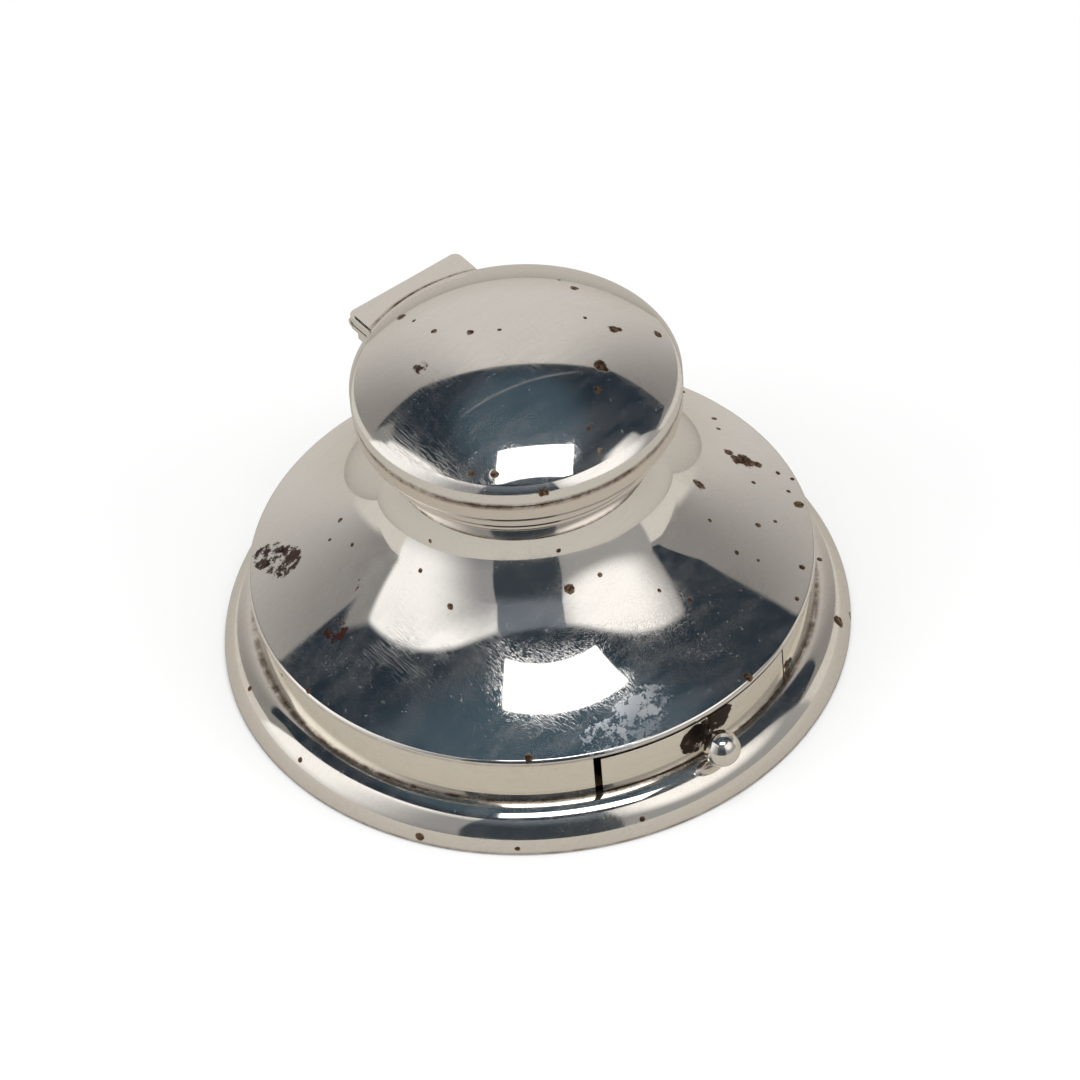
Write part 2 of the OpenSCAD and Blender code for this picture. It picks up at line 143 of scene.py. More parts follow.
# The camera: its distance from the middle of the foot, and how it is turned off the line to it
CAMERA_DISTANCE = 1.5
CAMERA_AZIMUTH = -33.9
CAMERA_ELEVATION = 45.15
CAMERA_ROLL = -5.07
CAMERA_PAN = -0.07
CAMERA_TILT = 0.605
CAMERA_LENS = 272.4


def arc(centre_r, centre_z, radius, start, end, step=2.0):
    """Points along an arc, by angle from the outward direction"""
    count = max(3, math.ceil(abs(end - start) / step))
    angles = [start + (end - start) * i / count for i in range(count + 1)]
    return [(centre_r + radius * cos(a), centre_z + radius * sin(a)) for a in angles]


def two_arcs(a, b, c, d, width, height):
    """The radii of two tangent arcs that span a width and a height"""
    det = a * d - b * c
    return (width * d - b * height) / det, (a * height - c * width) / det


def softened(outline, radius=edge_soft, turn_limit=24.0):
    """The outline with a small round in place of each sharp corner"""
    soft = []
    count = len(outline)
    for i, (x, y) in enumerate(outline):
        before, after = outline[i - 1], outline[(i + 1) % count]
        into = Vector((x - before[0], y - before[1]))
        out = Vector((after[0] - x, after[1] - y))
        if into.length < 1e-6 or out.length < 1e-6:
            continue
        if into.angle(out) < math.radians(turn_limit) or x < 1e-6:
            soft.append((x, y))
            continue
        cut = min(radius, 0.45 * into.length, 0.45 * out.length)
        corner = Vector((x, y))
        start = corner - into.normalized() * cut
        end = corner + out.normalized() * cut
        for step in range(6):
            t = step / 5
            point = start * (1 - t) ** 2 + corner * 2 * t * (1 - t) + end * t ** 2
            soft.append((point.x, point.y))
    return soft


def outline_normals(outline):
    """The direction out of the metal at each point, led by the longer of the two sides there"""
    area = sum(outline[i - 1][0] * p[1] - p[0] * outline[i - 1][1] for i, p in enumerate(outline))
    hand = 1 if area > 0 else -1
    normals = []
    for i, (x, y) in enumerate(outline):
        total = Vector((0, 0))
        x1, y1 = outline[(i + 1) % len(outline)]
        for dx, dy in ((x - outline[i - 1][0], y - outline[i - 1][1]), (x1 - x, y1 - y)):
            total += Vector((dy, -dx)) * hand * math.hypot(dx, dy)
        normals.append(total.normalized())
    return normals


def new_piece(name, vertices, faces):
    """A mesh object with its faces turned outward"""
    mesh = bpy.data.meshes.new(name)
    mesh.from_pydata(vertices, [], faces)
    work = bmesh.new()
    work.from_mesh(mesh)
    bmesh.ops.remove_doubles(work, verts=work.verts, dist=1e-7)
    bmesh.ops.recalc_face_normals(work, faces=work.faces)
    work.to_mesh(mesh)
    work.free()
    mesh.shade_smooth()
    piece = bpy.data.objects.new(name, mesh)
    bpy.context.scene.collection.objects.link(piece)
    return piece


def lathe(name, outline, start=0.0, sweep=360.0, place=None, turns=TURNS):
    """Turns a closed outline of (radius, height) about the axis, whole or over an angle"""
    full = sweep >= 360.0
    steps = turns if full else max(8, round(turns * sweep / 360.0))
    rows = steps if full else steps + 1
    count = len(outline)
    around = [start + sweep * row / steps for row in range(rows)]
    vertices = [Vector((r * cos(a), r * sin(a), z)) * MM for a in around for r, z in outline]
    faces = []
    for row in range(steps):
        near, far = row * count, ((row + 1) % rows) * count
        for i in range(count):
            j = (i + 1) % count
            if outline[i][0] > 1e-6 or outline[j][0] > 1e-6:
                faces.append([near + i, far + i, far + j, near + j])
    if not full:
        faces.append(list(range(count)))
        faces.append([(rows - 1) * count + i for i in range(count)])
    normals = {}
    for (r, z), n in zip(outline, outline_normals(outline)):
        normals[(round(r, 4), round(z, 4))] = n
    piece = new_piece(name, vertices, faces)
    if full:
        exact = []
        for v in piece.data.vertices:
            r = math.hypot(v.co.x, v.co.y)
            n = normals[(round(r / MM, 4), round(v.co.z / MM, 4))] if (
                (round(r / MM, 4), round(v.co.z / MM, 4)) in normals) else None
            if n is None:
                near = min(normals, key=lambda key: (key[0] - r / MM) ** 2 + (key[1] - v.co.z / MM) ** 2)
                n = normals[near]
            exact.append(Vector((n.x * v.co.x / r, n.x * v.co.y / r, n.y)) if r > 1e-7
                         else Vector((0, 0, 1 if n.y > 0 else -1)))
        piece.data.normals_split_custom_set_from_vertices(exact)
    else:
        weigh_normals(piece)
    if place:
        piece.data.transform(place)
    return piece


def weigh_normals(piece, width=0.0, segments=3):
    """Rounds the edges of a flat-sided piece and shades its flats as flat"""
    if width:
        bevel = piece.modifiers.new("rounded edges", "BEVEL")
        bevel.width = width * MM
        bevel.segments = segments
        bevel.limit_method = "ANGLE"
        bevel.angle_limit = math.radians(35)
        bevel.harden_normals = True
    else:
        piece.data.set_sharp_from_angle(angle=math.radians(35))
        weighted = piece.modifiers.new("even shading", "WEIGHTED_NORMAL")
        weighted.keep_sharp = True


class Value:
    """A socket in an expression: each operator adds its Math node"""

    def __init__(self, tree, socket):
        self.tree = tree
        self.socket = socket

    def math(self, operation, *others):
        return self.tree.node("Math", {"operation": operation}, self, *others)

    def __add__(self, other):
        return self.math("ADD", other)

    __radd__ = __add__

    def __sub__(self, other):
        return self.math("SUBTRACT", other)

    def __rsub__(self, other):
        return self.tree.node("Math", {"operation": "SUBTRACT"}, other, self)

    def __mul__(self, other):
        return self.math("MULTIPLY", other)

    __rmul__ = __mul__

    def __truediv__(self, other):
        return self.math("DIVIDE", other)

    def least(self, other):
        return self.math("MINIMUM", other)

    def most(self, other):
        return self.math("MAXIMUM", other)

    def size(self):
        return self.math("ABSOLUTE")

    def step(self, low, high):
        """0 below low, 1 above high, smooth between; the other way round if low is the higher"""
        settings = {"interpolation_type": "SMOOTHSTEP"}
        if low > high:
            return 1 - self.tree.node("MapRange", settings, self, high, low)
        return self.tree.node("MapRange", settings, self, low, high)


class Tree:
    """The nodes of one material"""

    def __init__(self, material):
        material.use_nodes = True
        self.nodes = material.node_tree.nodes
        self.links = material.node_tree.links
        self.nodes.clear()
        self.output = self.nodes.new("ShaderNodeOutputMaterial")

    def feed(self, socket, value):
        if isinstance(value, Value):
            self.links.new(value.socket, socket)
        elif isinstance(value, (tuple, list)) and len(value) == 3 and socket.type == "RGBA":
            socket.default_value = (*value, 1.0)
        else:
            socket.default_value = value

    def node(self, kind, settings=None, *values, out=0, **named):
        """Adds a node: its settings first, then its sockets by order and by name"""
        node = self.nodes.new("ShaderNode" + kind)
        for key, setting in (settings or {}).items():
            setattr(node, key, setting)
        for socket, value in zip(node.inputs, values):
            self.feed(socket, value)
        for key, value in named.items():
            self.feed(node.inputs[key.replace("_", " ")], value)
        return Value(self, node.outputs[out])

    def mix(self, share, first, second):
        node = self.nodes.new("ShaderNodeMix")
        node.data_type = "RGBA"
        for key, value in ((0, share), (6, first), (7, second)):
            self.feed(node.inputs[key], value)
        return Value(self, node.outputs[2])

    def vector(self, operation, *values, out=0):
        return self.node("VectorMath", {"operation": operation}, *values, out=out)

    def place(self):
        """The place on the piece, in metres, which moves with it"""
        return self.node("TexCoord", out="Object")

    def noise(self, where, scale, detail=3.0, rough=0.55, out=0):
        return self.node("TexNoise", None, out=out, Vector=where, Scale=scale, Detail=detail,
                         Roughness=rough)

    def shade(self, shader):
        self.links.new(shader.socket, self.output.inputs["Surface"])


def material(name, build, *values, **named):
    made = bpy.data.materials.new(name)
    build(Tree(made), *values, **named)
    return made


def spots(tree, where, marks, ragged):
    """Ragged dots on a surface: each mark is its azimuth, distance from the axis, height and size"""
    total = None
    for azimuth, r, z, size in marks:
        centre = (r * sin(azimuth) * MM, -r * cos(azimuth) * MM, z * MM)
        distance = tree.vector("DISTANCE", where, centre, out=1) / (size * MM) + ragged
        dot = distance.step(1.15, 0.85)
        total = dot if total is None else total.most(dot)
    return total


def hairlines(tree, where, angle, scale, width):
    """Fine straight scratches that run one way and come and go"""
    turned = tree.node("Mapping", None, where, (0, 0, 0), (0.2, 0.3, math.radians(angle)), (1, 0.03, 1))
    lines = tree.noise(turned, scale, 1.0)
    patches = tree.noise(where, 60, 2.0)
    return (lines - 0.5).size().step(width, 0) * patches.step(0.43, 0.6)


def blots(tree, where, patches, colour, roughness):
    """Corroded areas, and one painted dark reflection on the lid, that break up toward their edges"""
    grain = tree.noise(where, 560, 6.0, 0.78)
    for azimuth, r, z, size, cover, shade, dull in patches:
        centre = (r * sin(azimuth) * MM, -r * cos(azimuth) * MM, z * MM)
        near = tree.vector("DISTANCE", where, centre, out=1) / (size * MM)
        blot = (grain * 1.3 - near.step(0.5, 1.25)).step(0.66 - cover, 0.72 - cover)
        colour = tree.mix(blot, colour, shade)
        roughness = roughness + blot * dull
    return colour, roughness


def silver(tree, tint=(0.95, 0.93, 0.9), rough=0.03, scratch=1.0, marks=(), joints=(), patches=(),
           film=0.1, haze=0.09):
    """Polished silver with handling scratches, corroded dots and tarnish in its joints.
    Each joint is a circle that has darkened: its radius, height, half width and strength; the circle at the
    foot's bottom edge is painted shade, not tarnish."""
    where = tree.place()
    broad = tree.noise(where, 28, 4.0)
    fine = tree.noise(where, 900, 3.0)
    colour = tree.mix(broad.step(0.35, 0.75) * film, tint, (0.7, 0.6, 0.47))
    roughness = rough + broad.step(0.45, 0.8) * 0.02 + fine.step(0.5, 0.9) * 0.04
    colour, roughness = blots(tree, where, patches, colour, roughness)
    ragged = (tree.noise(where, 700, 4.0) - 0.5) * 1.6
    dull = spots(tree, where, marks, ragged) if marks else None
    height = tree.node("SeparateXYZ", None, where, out=2)
    radius = tree.vector("LENGTH", tree.vector("MULTIPLY", where, (1, 1, 0)), out=1)
    worn = tree.noise(where, 260, 5.0, 0.7).step(0.3, 0.65) * 0.75 + 0.25
    for r, z, half, strength in joints:
        across = radius - r * MM
        along = height - z * MM
        band = (across * across + along * along).math("SQRT").step(half * MM, half * 0.2 * MM)
        band = band * worn * strength
        dull = band if dull is None else dull.most(band)
    if dull is not None:
        # The same dark colour is tarnish in the joints and painted shade along the foot's bottom edge
        stain_and_shade = tree.mix(tree.noise(where, 1500, 2.0).step(0.4, 0.65), (0.1, 0.055, 0.035),
                         (0.3, 0.21, 0.14))
        colour = tree.mix(dull, colour, stain_and_shade)
        roughness = roughness + dull * 0.4
    lines = None
    for angle, scale, width in ((17, 1300, 0.016), (74, 1100, 0.014), (-38, 1500, 0.016)):
        line = hairlines(tree, where, angle, scale, width)
        lines = line if lines is None else lines.most(line)
    level = lines * (-0.4 * scratch) + fine * 0.05
    if dull is not None:
        level = level - dull * 1.5
    normal = tree.node("Bump", None, Strength=0.2, Distance=0.00002, Height=level)
    bright = tree.node("BsdfPrincipled", None, Base_Color=colour, Metallic=1.0, Roughness=roughness,
                       Normal=normal)
    cloudy = tree.node("BsdfPrincipled", None, Base_Color=colour, Metallic=1.0, Roughness=0.42,
                       Normal=normal)
    brushed = tree.node("Mapping", None, where, (0, 0, 0), (0, 0, math.radians(CAMERA_AZIMUTH)),
                        (0.25, 1, 1))
    veil = tree.noise(brushed, 240, 5.0, 0.7).step(0.38, 0.7) * 1.7 + lines * 1.3 + 0.2
    specks = tree.noise(where, 1300, 2.0).step(0.68, 0.74)
    veil = veil + specks * 3.0
    tree.shade(tree.node("MixShader", None, (veil * haze).least(0.9), bright, cloudy))


def dress(piece, name, slot, body, *nodes):
    piece.data.materials.clear()
    piece.data.materials.append(bpy.data.materials[name])
    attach(piece, body)
    if nodes:
        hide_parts(*nodes)


def dress_node(node, name):
    """A CAD node that stays in view gets its finish"""
    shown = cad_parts[node]
    shown.data.materials.clear()
    shown.data.materials.append(bpy.data.materials[name])


# Outlines of the turned pieces, as (radius, height)
def foot_outline():
    centre_r = foot_r - foot_round_r
    centre_z = foot_top - foot_round_r
    inner = foot_round_r - foot_t
    drop = centre_z - foot_low
    low_out = -math.degrees(math.asin(drop / foot_round_r))
    low_in = -math.degrees(math.asin(drop / inner))
    seat = wall_r - wall_t - foot_seat_w
    return ([(seat, foot_top - foot_t), (seat, foot_top)]
            + arc(centre_r, centre_z, foot_round_r, 90, low_out)
            + arc(centre_r, centre_z, inner, low_in, 90))


def body_outline():
    edge_z = wall_top + edge_h + edge_round_r * cos(edge_slope)
    neck_z = neck_top - neck_h
    wide_end = edge_r - edge_round_r * (1 - sin(edge_slope))
    tight, wide = two_arcs(1 - sin(flare_slope), sin(flare_slope) - sin(edge_slope), cos(flare_slope),
                           cos(edge_slope) - cos(flare_slope), wide_end - neck_r, neck_z - edge_z)
    tight_c = neck_r + tight
    wide_c = tight_c + (wide - tight) * sin(flare_slope)
    wide_z = neck_z + (wide - tight) * cos(flare_slope)
    seat = wall_r - wall_t - 0.5
    inner_end = 360 - math.degrees(math.acos((seat - wide_c) / (wide + shell_t)))
    return ([(neck_r - shell_t, neck_top), (neck_r, neck_top)]
            + arc(tight_c, neck_z, tight, 180, 270 - flare_slope, 1.5)
            + arc(wide_c, wide_z, wide, 270 - flare_slope, 270 - edge_slope, 0.8)[1:]
            + arc(edge_r - edge_round_r, wall_top + edge_h, edge_round_r, 90 - edge_slope, 0, 6)[1:]
            + [(edge_r, wall_top), (seat, wall_top)]
            + arc(wide_c, wide_z, wide + shell_t, inner_end, 270 - flare_slope, 1.5)
            + arc(tight_c, neck_z, tight + shell_t, 270 - flare_slope, 180, 3)[1:])


def mount_outline():
    stem_r = bead_edge - stem_in
    bead_c = bead_edge - bead_r
    bead_z = neck_top - bead_drop
    bead_low = bead_z - bead_r
    cove_r = neck_r + cove_out
    cove_cr = cove_r + cove_round_r * sin(cove_slope)
    cove_cz = cove_z + cove_lip + cove_round_r * cos(cove_slope)
    stem_end = math.degrees(math.acos((stem_r - bead_c) / bead_r))
    return ([(stem_r - mount_t, neck_top), (stem_r, neck_top)]
            + arc(bead_c, bead_z, bead_r, stem_end, -90, 8)
            + [(cove_cr - cove_round_r, bead_low)]
            + arc(cove_cr, cove_cz, cove_round_r, 180, 270 - cove_slope, 2.5)
            + [(cove_r, cove_z), (neck_r, cove_z), (neck_r, bead_low + mount_t),
               (stem_r - mount_t, bead_low + mount_t)])


def collar_outline():
    mouth = collar_r - collar_t
    floor_z = neck_top + collar_floor_t
    return ([(neck_r - shell_t, neck_top), (neck_r - shell_t, floor_z), (mouth, floor_z),
             (mouth, collar_top), (collar_r, collar_top)]
            + arc(collar_r - collar_round_r, neck_top + collar_round_r, collar_round_r, 0, -90, 5))


def crown_outline():
    rise = lid_top - lid_edge
    wide, tight = two_arcs(sin(crown_slope), sin(shoulder_slope) - sin(crown_slope), 1 - cos(crown_slope),
                           cos(crown_slope) - cos(shoulder_slope), lid_r, rise)
    tight_c = (wide - tight) * sin(crown_slope)
    tight_z = lid_top - wide + (wide - tight) * cos(crown_slope)
    inner_end = math.degrees(math.asin((lid_edge - tight_z) / (tight - crown_t)))
    return (arc(0, lid_top - wide, wide, 90, 90 - crown_slope, 1.0)
            + arc(tight_c, tight_z, tight, 90 - crown_slope, 90 - shoulder_slope, 1.5)[1:]
            + arc(tight_c, tight_z, tight - crown_t, inner_end, 90 - crown_slope, 3)
            + arc(0, lid_top - wide, wide - crown_t, 90 - crown_slope, 90, 3)[1:])


def box_outline(r_in, r_out, z0, z1):
    return [(r_in, z0), (r_out, z0), (r_out, z1), (r_in, z1)]


def knob():
    """Ball, stem and riveted end, turned about the line that the drawer slides along"""
    centre = knob_front - knob_r
    start = 180 - math.degrees(math.asin(knob_stem_d / 2 / knob_r))
    ball = [(knob_r * sin(a), centre + knob_r * cos(a)) for a in
            [start * i / 44 for i in range(45)]]
    seat = wall_r - wall_t
    outline = softened(ball + [(knob_stem_d / 2, seat), (rivet_d / 2, seat), (rivet_d / 2, seat - rivet_t),
                               (0, seat - rivet_t)], 0.15)
    turn = Matrix.Translation(Vector((0, 0, knob_z)) * MM) @ Matrix.Rotation(math.radians(90), 4, "X")
    return lathe("ball_knob", outline, place=turn, turns=96)


# Corroded dots: azimuth from the drawer, distance from the axis, height and radius
DOME_MARKS = (
    (82, 41.7, 22.5, 0.9), (79, 42.6, 22.0, 1.5), (78, 44.2, 21.2, 1.5), (77, 45.7, 20.5, 0.9),
    (63, 31.8, 28.9, 1.2), (64, 49.9, 18.7, 0.9), (74, 48.7, 19.2, 0.5), (68, 48.9, 19.1, 0.45),
    (96, 46.7, 20.1, 0.5), (108, 49.7, 18.8, 0.5), (70, 42.8, 21.9, 0.5), (54, 41.5, 22.6, 0.5),
    (57, 44.7, 21.0, 0.4), (41, 38.3, 24.4, 0.5), (42, 42.0, 22.3, 0.4), (45, 49.6, 18.9, 0.6),
    (36, 50.1, 18.7, 0.5), (-20, 25.8, 34.0, 0.9), (-66, 28.6, 31.4, 0.6), (-89, 51.1, 18.3, 0.5),
    (-38, 51.1, 18.3, 0.9), (72, 50.8, 18.4, 0.4), (92, 44.9, 20.9, 0.4), (-6, 25.5, 34.3, 0.45),
    (-21, 22.2, 40.5, 0.4), (-84, 26.1, 33.7, 0.5), (-85, 22.9, 38.5, 0.4), (12, 51.1, 18.3, 0.9),
    (-132, 34.4, 27.0, 0.5), (-118, 32.3, 28.5, 0.5), (-126, 36.2, 25.7, 0.35),
    (17, 35.7, 26.1, 0.5), (11, 31.6, 29.0, 0.4), (48, 33.0, 27.9, 0.4))
LID_MARKS = (
    (32, 16.5, 70.7, 1.1), (31, 17.5, 70.3, 0.6), (108, 19.3, 69.6, 0.8), (66, 18.4, 70.0, 0.9),
    (68, 26.5, 65.7, 0.8), (-160, 24.0, 67.2, 0.9), (-156, 20.3, 69.1, 0.4), (-145, 14.6, 71.3, 0.6),
    (-142, 7.7, 73.0, 0.7), (77, 14.2, 71.5, 0.4), (16, 18.6, 69.9, 0.8), (-164, 2.7, 73.5, 0.4),
    (66, 19.5, 69.5, 0.5), (-2, 22.9, 67.8, 0.5), (-45, 26.9, 65.4, 0.7), (-54, 27.2, 65.2, 0.5),
    (-3, 26.7, 65.5, 0.4), (-28, 29.8, 63.0, 1.0), (119, 20.4, 69.1, 0.35))
FOOT_MARKS = (
    (45, 55.8, 5.3, 1.1), (50, 57.4, 1.8, 0.8), (-59, 57.4, 1.9, 0.8), (-41, 57.4, 1.8, 0.6),
    (-18, 56.7, 4.0, 0.5), (-87, 55.9, 5.2, 0.5), (-108, 55.2, 5.9, 0.5), (60, 52.7, 7.4, 0.5))
WALL_MARKS = ((26, 51.3, 8.6, 1.1), (25, 51.3, 11.6, 0.7), (1, 51.3, 11.1, 0.8), (-5, 51.3, 12.5, 0.6))

# Corroded areas, and one painted dark reflection on the lid: place as above, radius, cover, colour and how
# much rougher
# Dark crust colour, also used for the painted dark reflection on the lid
CRUST_AND_PAINTED_REFLECTION = (0.12, 0.08, 0.075)
TARNISH = (0.05, 0.035, 0.03)
RUSTY = (0.3, 0.12, 0.09)
FROST = (0.8, 0.82, 0.84)
DOME_PATCHES = (
    (-126, 45.0, 20.9, 5.8, 0.08, CRUST_AND_PAINTED_REFLECTION, 0.5), (-130, 47.9, 19.6, 5.0, 0.08, CRUST_AND_PAINTED_REFLECTION, 0.5),
    (-96, 41.1, 22.8, 4.0, 0.02, RUSTY, 0.2), (-102, 34.0, 27.2, 2.4, -0.05, RUSTY, 0.2),
    (-22, 49.8, 18.8, 7.0, 0.05, FROST, 0.25), (-14, 47.4, 19.8, 7.0, 0.08, FROST, 0.25),
    (-9, 45.6, 20.6, 5.5, 0.05, FROST, 0.25), (79, 43.6, 21.5, 2.6, 0.1, CRUST_AND_PAINTED_REFLECTION, 0.4))
WALL_PATCHES = ((-3, 51.3, 12.4, 4.6, 0.2, TARNISH, 0.4), (3, 51.3, 14.4, 4.2, 0.17, TARNISH, 0.4),
                (26, 51.3, 10.0, 2.8, 0.08, TARNISH, 0.3))
# Painted reflection: a dark blot on the lid that stands in for a reflected dark shape, not corrosion
LID_PAINTED_REFLECTION = ((-114, 17.0, 70.4, 2.6, 0.02, CRUST_AND_PAINTED_REFLECTION, 0.4),)


def make_materials():
    material("silver dome", silver, (0.95, 0.93, 0.9), 0.03, 1.0, DOME_MARKS,
             ((edge_r - 0.4, wall_top, 0.7, 0.9), (neck_r, cove_z, 0.6, 0.6)), DOME_PATCHES)
    material("silver lid", silver, (0.95, 0.93, 0.9), 0.025, 1.0, LID_MARKS,
             ((lid_r, lid_z, 0.9, 0.9),), LID_PAINTED_REFLECTION)
    material("silver wall", silver, (0.95, 0.905, 0.82), 0.06, 0.6, WALL_MARKS,
             ((wall_r, foot_top, 0.7, 0.9), (wall_r, wall_top, 0.9, 0.8)), WALL_PATCHES)
    # The second darkened circle is painted shade along the foot's bottom edge, where it stands on the table;
    # the first is tarnish in the joint with the wall.
    material("silver foot", silver, (0.95, 0.92, 0.87), 0.045, 0.8, FOOT_MARKS,
             ((wall_r, foot_top, 1.2, 0.9), (foot_r, foot_low, 0.8, 0.7)))
    material("silver collar", silver, (0.84, 0.78, 0.71), 0.09, 0.5, (),
             ((collar_r, collar_top, 1.1, 0.9), (bead_edge + 1, neck_top, 1.6, 0.9),
              (bead_edge - 0.9, cove_z + 4.6, 0.9, 0.8), (neck_r + 2.2, cove_z, 0.7, 0.9)))
    material("silver hinge", silver, (0.93, 0.9, 0.85), 0.12, 0.8, (), ((lid_r, lid_edge, 0.8, 0.9),))
    material("silver inside", silver, (0.82, 0.78, 0.7), 0.22, 0.5, film=0.5)
    # Painted shade: the drawer case is coloured near black so that the gaps round the drawer front read as
    # dark slits
    material("dark tarnish", silver, (0.16, 0.12, 0.09), 0.45, 0.3)
    material("glass", glass)
    material("wood", wood)
    material("baize", baize)
    material("cement", cement)
    material("brass", brass)


def glass(tree):
    where = tree.place()
    waves = tree.noise(where, 90, 2.0)
    normal = tree.node("Bump", None, Strength=0.1, Distance=0.0002, Height=waves)
    tree.shade(tree.node("BsdfPrincipled", None, Base_Color=(0.93, 0.97, 0.95), Roughness=0.02, IOR=1.5,
                         Transmission_Weight=1.0, Normal=normal))


def wood(tree):
    where = tree.vector("MULTIPLY", tree.place(), (1.0, 8.0, 1.0))
    grain = tree.noise(where, 60, 6.0, 0.6)
    colour = tree.mix(grain.step(0.3, 0.7), (0.12, 0.055, 0.03), (0.25, 0.13, 0.07))
    normal = tree.node("Bump", None, Strength=0.2, Distance=0.0003, Height=grain)
    tree.shade(tree.node("BsdfPrincipled", None, Base_Color=colour, Roughness=grain * 0.2 + 0.4,
                         Normal=normal))


def baize(tree):
    where = tree.place()
    fibres = tree.noise(where, 1800, 4.0, 0.7)
    nap = tree.noise(where, 120, 3.0)
    colour = tree.mix(fibres.step(0.3, 0.7) * 0.7 + nap * 0.3, (0.015, 0.06, 0.03), (0.05, 0.16, 0.085))
    normal = tree.node("Bump", None, Strength=0.6, Distance=0.0003, Height=fibres)
    tree.shade(tree.node("BsdfPrincipled", None, Base_Color=colour, Roughness=0.9, Sheen_Weight=0.4,
                         Normal=normal))


def cement(tree):
    where = tree.place()
    grit = tree.noise(where, 500, 6.0, 0.7)
    colour = tree.mix(grit, (0.07, 0.06, 0.05), (0.2, 0.18, 0.16))
    normal = tree.node("Bump", None, Strength=0.5, Distance=0.0004, Height=grit)
    tree.shade(tree.node("BsdfPrincipled", None, Base_Color=colour, Roughness=0.85, Normal=normal))


def brass(tree):
    where = tree.place()
    turned = tree.noise(where, 900, 3.0)
    colour = tree.mix(turned.step(0.4, 0.8), (0.72, 0.53, 0.25), (0.45, 0.3, 0.14))
    tree.shade(tree.node("BsdfPrincipled", None, Base_Color=colour, Metallic=1.0,
                         Roughness=turned * 0.2 + 0.2))


def make_pieces():
    dress(lathe("foot", softened(foot_outline())), "silver foot", "silver", "base", "foot_moulding")
    half = math.degrees(math.asin(front_half_w / wall_r))
    gap = math.degrees(1 / wall_r)
    wall = lathe("wall", softened(box_outline(wall_r - wall_t, wall_r, foot_top, wall_top)),
                 half + front_gap_right * gap - 90,
                 360 - 2 * half - (front_gap_left + front_gap_right) * gap)
    dress(wall, "silver wall", "silver", "base", "wall_band")
    dress(lathe("dome", softened(body_outline())), "silver dome", "silver", "base", "body_shell")
    dress(lathe("neck_mount", softened(mount_outline())), "silver collar", "silver", "base", "neck_bead")
    dress(lathe("collar", softened(collar_outline())), "silver collar", "silver", "base", "collar_ring")
    dress(lathe("crown", softened(crown_outline())), "silver lid", "silver", "lid", "lid_crown")
    rim = softened(box_outline(lid_r - lid_rim_t, lid_r, lid_z, lid_edge))
    dress(lathe("rim", rim), "silver lid", "silver", "lid", "lid_rim")
    front = lathe("drawer_face", softened(box_outline(wall_r - wall_t, wall_r, front_z, front_top)),
                  -90 - half, 2 * half)
    dress(front, "silver wall", "silver", "drawer", "drawer_front")
    dress(knob(), "silver foot", "silver", "drawer", "drawer_knob")
    for node in ("hinge_leaf_lower", "hinge_leaf_upper", "hinge_pin"):
        dress_node(node, "silver hinge")
        weigh_normals(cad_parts[node], 0.1, 2)
    dress_node("glass_well", "glass")
    dress_node("base_pad", "baize")
    dress_node("base_board", "wood")
    dress_node("foot_filling", "cement")
    dress_node("case_screws", "brass")
    for node in ("drawer_tray", "lid_bezel"):
        dress_node(node, "silver inside")
    # Painted shade: the near black case darkens the gaps round the drawer front
    dress_node("drawer_case", "dark tarnish")


# The studio, by direction from the inkstand: azimuth from the camera, to its right, and elevation
def window(tree, azimuth, elevation, left, right, low, high, soft=2.0):
    """1 inside a window of directions, with soft edges"""
    return (azimuth.step(left - soft, left + soft) * azimuth.step(right + soft, right - soft)
            * elevation.step(low - soft, low + soft) * elevation.step(high + soft, high - soft))


